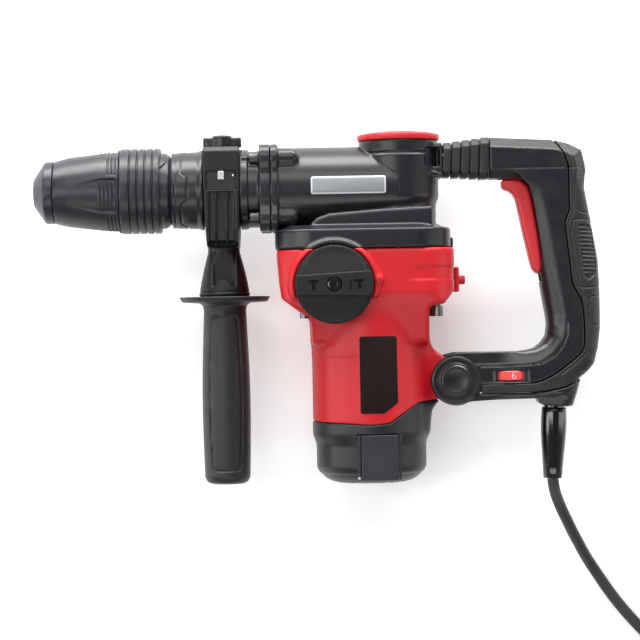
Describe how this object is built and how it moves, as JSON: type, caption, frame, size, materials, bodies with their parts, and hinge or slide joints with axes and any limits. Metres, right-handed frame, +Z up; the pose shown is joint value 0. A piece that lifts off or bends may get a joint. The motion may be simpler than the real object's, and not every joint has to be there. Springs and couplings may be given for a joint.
{
  "type": "rotary hammer",
  "caption": "Corded rotary hammer with an upright motor, D-shaped rear handle, side handle and quick-release tool holder, lying on its side.",
  "frame": {"origin": "middle of the tool's footprint where it lies on its side on the floor, under the middle of its length and height, without the cord", "axes": "+X from the tool holder to the rear handle, +Y from the motor's end cap to the crank cap, +Z up from the floor, out of the tool's left side where the mode knob is"},
  "size_m": [0.5755, 0.4073, 0.104],
  "materials": {
    "cast_black": "satin black paint on cast aluminium",
    "black_plastic": "fine-textured glass-filled nylon",
    "black_rubber": "soft over-moulded rubber",
    "chuck_black": "satin rubber-coated steel",
    "cap_rubber": "smooth rubber",
    "red_plastic": "smooth red nylon",
    "dial_red": "smooth red plastic",
    "gloss_black": "polished black",
    "label_black": "printed foil",
    "badge_silver": "silver foil on a raised plate",
    "screw_steel": "zinc plated",
    "black_steel": "black oxide",
    "hard_steel": "ground and hardened",
    "laminated_steel": "varnished laminations",
    "piston_aluminium": "machined",
    "copper": "enamelled copper",
    "brass": "pressed brass",
    "carbon": "carbon",
    "switch_plastic": "moulded",
    "cord_rubber": "matt rubber"
  },
  "bodies": {
    "housing": {"gear_housing": "cast_black", "front_barrel": "cast_black", "barrel_screws": "black_steel", "lock_washers": "screw_steel", "crank_cap": "red_plastic", "motor_housing": "red_plastic", "housing_screws": "screw_steel", "end_cap": "black_plastic", "brush_covers": "black_plastic", "rear_stop": "red_plastic", "badge": "badge_silver", "nameplate": "label_black", "gear_plate": "piston_aluminium", "spindle_seal": "black_rubber", "spindle_bearing": "hard_steel", "cylinder_bearing": "hard_steel", "shaft_bearings": "hard_steel", "armature_bearings": "hard_steel", "stator_core": "laminated_steel", "field_coils": "copper", "brush_holders": "brass", "carbon_brushes": "carbon", "pivot_bush": "black_rubber", "guide_pin": "screw_steel", "bellows": "black_rubber", "handle_spring": "screw_steel"},
    "spindle": {"tool_holder": "hard_steel", "hammer_cylinder": "hard_steel", "bevel_ring_gear": "hard_steel", "chuck_ring": "chuck_black", "locking_balls": "screw_steel", "dust_cap": "cap_rubber", "sleeve_spring": "screw_steel"},
    "chuck_sleeve": {"locking_sleeve": "chuck_black", "grip_ring": "chuck_black"},
    "beat_piece": {"beat_piece": "hard_steel"},
    "ram": {"ram": "hard_steel"},
    "piston": {"piston": "piston_aluminium"},
    "connecting_rod": {"connecting_rod": "hard_steel"},
    "crankshaft": {"crankshaft": "hard_steel"},
    "layshaft": {"layshaft": "hard_steel"},
    "armature": {"armature": "laminated_steel", "commutator": "copper"},
    "mode_knob": {"mode_knob": "black_plastic"},
    "mode_button": {"mode_button": "gloss_black"},
    "rear_handle": {"handle_shell_left": "black_plastic", "handle_shell_right": "black_plastic", "rear_grip_cover": "black_rubber", "pivot_caps": "black_plastic", "switch_module": "switch_plastic", "strain_relief": "gloss_black", "cord": "cord_rubber", "cord_tail": "cord_rubber", "cord_coil": "cord_rubber", "plug": "cord_rubber"},
    "trigger": {"trigger": "red_plastic"},
    "speed_dial": {"speed_dial": "dial_red"},
    "side_handle": {"side_clamp": "black_plastic"},
    "side_grip": {"side_grip": "black_rubber"},
    "wing_knob": {"wing_knob": "black_plastic"}
  },
  "joints": [
    {"name": "motor_spin", "type": "hinge", "parent": "housing", "child": "armature", "pos_m": [0.03715, -0.0442, 0.046], "axis": [0, 1, 0], "continuous": true},
    {"name": "layshaft_spin", "type": "hinge", "parent": "housing", "child": "layshaft", "pos_m": [0.01165, 0.0508, 0.046], "axis": [0, 1, 0], "continuous": true},
    {"name": "crank_spin", "type": "hinge", "parent": "housing", "child": "crankshaft", "pos_m": [0.06015, 0.0558, 0.046], "axis": [0, 1, 0], "continuous": true},
    {"name": "spindle_spin", "type": "hinge", "parent": "housing", "child": "spindle", "pos_m": [-0.10235, 0.0858, 0.046], "axis": [1, 0, 0], "continuous": true},
    {"name": "sleeve_pull", "type": "slide", "parent": "spindle", "child": "chuck_sleeve", "axis": [1, 0, 0], "range_m": [0, 0.008], "stiffness_N_per_m": 1500, "deforming": ["sleeve_spring"]},
    {"name": "beat_piece_slide", "type": "slide", "parent": "spindle", "child": "beat_piece", "axis": [1, 0, 0], "range_m": [-0.0006, 0.0025]},
    {"name": "ram_slide", "type": "slide", "parent": "spindle", "child": "ram", "axis": [1, 0, 0], "range_m": [-0.008, 0.014]},
    {"name": "piston_slide", "type": "slide", "parent": "housing", "child": "piston", "axis": [1, 0, 0], "range_m": [-0.022, 0]},
    {"name": "rod_swing", "type": "hinge", "parent": "piston", "child": "connecting_rod", "pos_m": [0.02715, 0.0858, 0.046], "axis": [0, 1, 0], "range_deg": [-14.4, 14.4]},
    {"name": "mode_turn", "type": "hinge", "parent": "housing", "child": "mode_knob", "pos_m": [0.01225, 0.0158, 0.092], "axis": [0, 0, 1], "range_deg": [-180, 0]},
    {"name": "mode_button_press", "type": "slide", "parent": "mode_knob", "child": "mode_button", "axis": [0, 0, -1], "range_m": [0, 0.002], "stiffness_N_per_m": 200},
    {"name": "handle_damping", "type": "hinge", "parent": "housing", "child": "rear_handle", "pos_m": [0.09795, -0.0538, 0.046], "axis": [0, 0, 1], "range_deg": [-0.5, 2], "stiffness_Nm_per_rad": 60, "deforming": ["bellows", "handle_spring"]},
    {"name": "trigger_pull", "type": "hinge", "parent": "rear_handle", "child": "trigger", "pos_m": [0.14065, 0.0948, 0.046], "axis": [0, 0, 1], "range_deg": [0, 8], "stiffness_Nm_per_rad": 0.8},
    {"name": "dial_turn", "type": "hinge", "parent": "rear_handle", "child": "speed_dial", "pos_m": [0.13705, -0.0509, 0.0515], "axis": [0, 1, 0], "range_deg": [-240, 0]},
    {"name": "side_handle_turn", "type": "hinge", "parent": "housing", "child": "side_handle", "pos_m": [-0.06655, 0.0858, 0.046], "axis": [1, 0, 0], "continuous": true},
    {"name": "grip_turn", "type": "hinge", "parent": "side_handle", "child": "side_grip", "pos_m": [-0.06655, -0.0542, 0.046], "axis": [0, 1, 0], "continuous": true},
    {"name": "wing_knob_turn", "type": "hinge", "parent": "side_handle", "child": "wing_knob", "pos_m": [-0.06655, 0.1188, 0.046], "axis": [0, 1, 0], "continuous": true}
  ],
  "couplings": [
    {"joint": "layshaft_spin", "follows": "motor_spin", "ratio": -0.25},
    {"joint": "crank_spin", "follows": "motor_spin", "ratio": -0.28},
    {"joint": "spindle_spin", "follows": "motor_spin", "ratio": -0.1}
  ]
}
